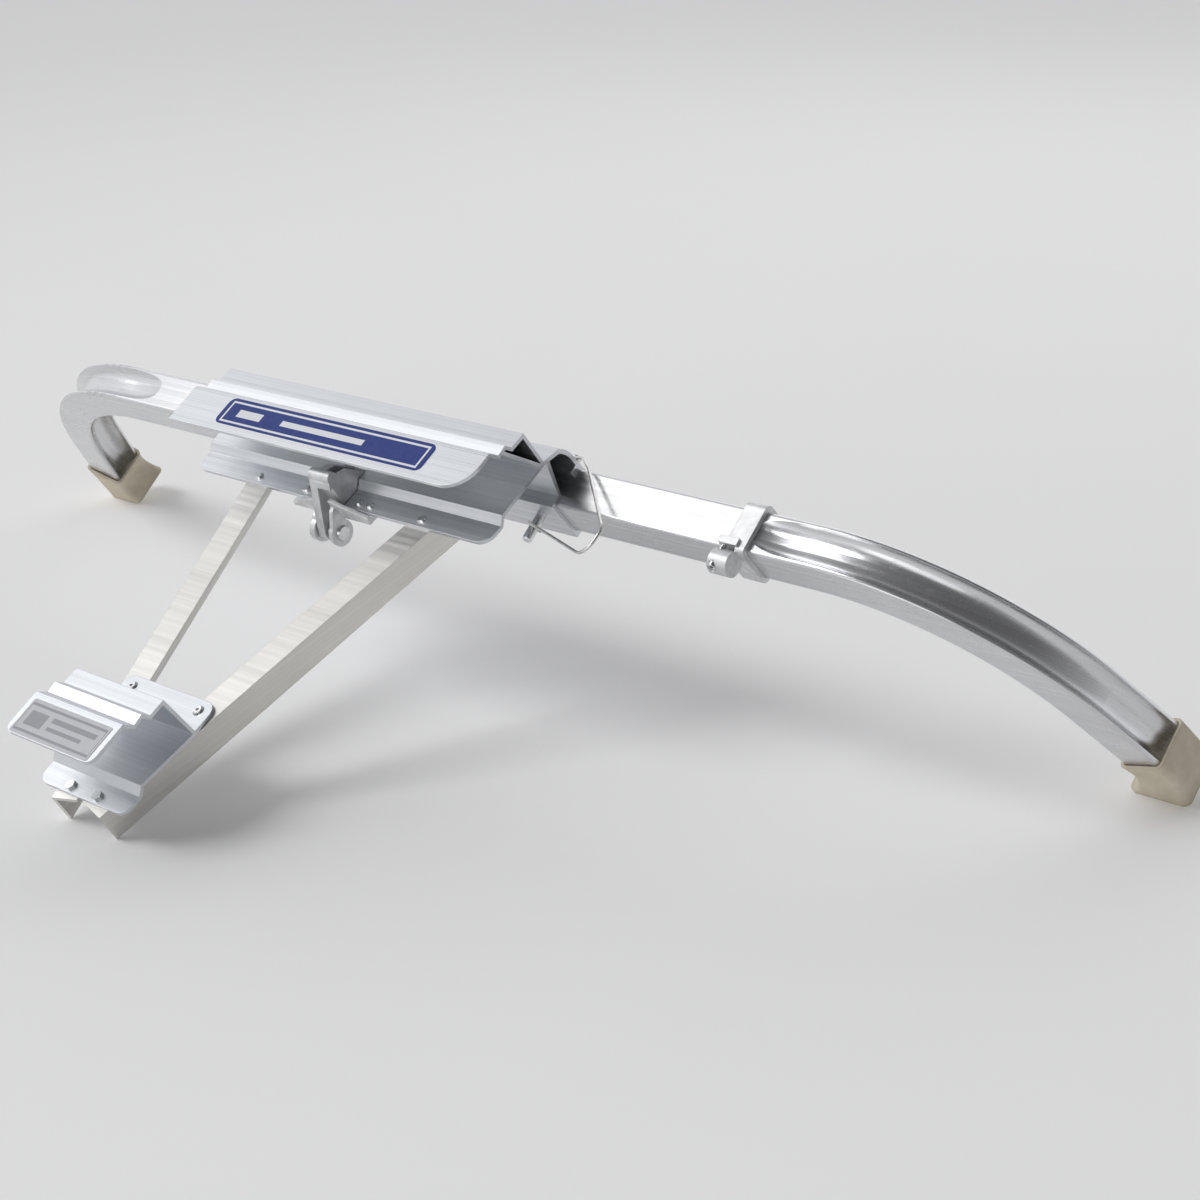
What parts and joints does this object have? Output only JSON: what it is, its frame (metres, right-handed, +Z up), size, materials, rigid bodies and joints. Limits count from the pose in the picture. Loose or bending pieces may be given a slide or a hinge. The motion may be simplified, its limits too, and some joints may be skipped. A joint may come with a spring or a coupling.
{
  "type": "ladder stabilizer",
  "caption": "Ladder stabilizer: two rung hooks joined by angle struts, a spring latch, and a square-tube bow with bent arms ending in rubber feet.",
  "frame": {"origin": "centre of the footprint, on the floor that the two rubber feet and the two strut ends stand on", "axes": "+X along the bow, to the right as seen by the user on the ladder; +Z up; +Y from the lower bracket towards the feet. Up the ladder's rails is +Y raised 28.5 degrees towards +Z."},
  "size_m": [1.242, 0.5422, 0.247],
  "materials": {
    "bracket_aluminium": "mill-finish extruded aluminium with fine drawn lines",
    "tube_aluminium": "smooth drawn tube, satin with a soft gloss",
    "strut_aluminium": "mill-finish angle, satin",
    "cast_aluminium": "grainy die-cast surface",
    "bright_zinc": "bright zinc plate",
    "spring_steel": "bright drawn wire",
    "foot_rubber": "matte moulded tan rubber",
    "decal_blue": "printed vinyl, plain bands",
    "decal_silver": "satin silver vinyl"
  },
  "bodies": {
    "frame": {"upper_bracket": "bracket_aluminium", "lower_bracket": "bracket_aluminium", "left_strut": "strut_aluminium", "right_strut": "strut_aluminium", "upper_strut_rivets": "bright_zinc", "latch_rivets": "bright_zinc", "lower_strut_rivets": "bright_zinc", "lower_bolts": "bright_zinc", "lower_nuts": "bright_zinc", "upper_decal": "decal_blue", "lower_decal": "decal_silver", "latch_housing": "cast_aluminium", "latch_pivot_pin": "bright_zinc", "latch_spring": "spring_steel", "lock_pin": "bright_zinc"},
    "bow": {"bow_tube": "tube_aluminium", "arm_collar": "cast_aluminium", "collar_screw": "bright_zinc", "left_foot": "foot_rubber"},
    "arm": {"right_arm": "tube_aluminium", "right_foot": "foot_rubber"},
    "bail": {"lock_pin_bail": "spring_steel"},
    "pawl": {"latch_pawl": "cast_aluminium"}
  },
  "joints": [
    {"name": "bow_slide", "type": "slide", "parent": "frame", "child": "bow", "axis": [1, 0, 0], "range_m": [0, 0.1524]},
    {"name": "right_arm_slide", "type": "slide", "parent": "bow", "child": "arm", "axis": [1, 0, 0], "range_m": [0, 0.05]},
    {"name": "bail_swing", "type": "hinge", "parent": "frame", "child": "bail", "pos_m": [0.1381, 0.13725, 0.20184], "axis": [-0.342, -0.5942, 0.728], "range_deg": [0, 110], "deforming": ["lock_pin_bail"]},
    {"name": "latch_swing", "type": "hinge", "parent": "frame", "child": "pawl", "pos_m": [-0.0114, 0.01766, 0.15138], "axis": [-1, 0, 0], "range_deg": [0, 38], "stiffness_Nm_per_rad": 0.15, "springref_deg": -34.38}
  ]
}
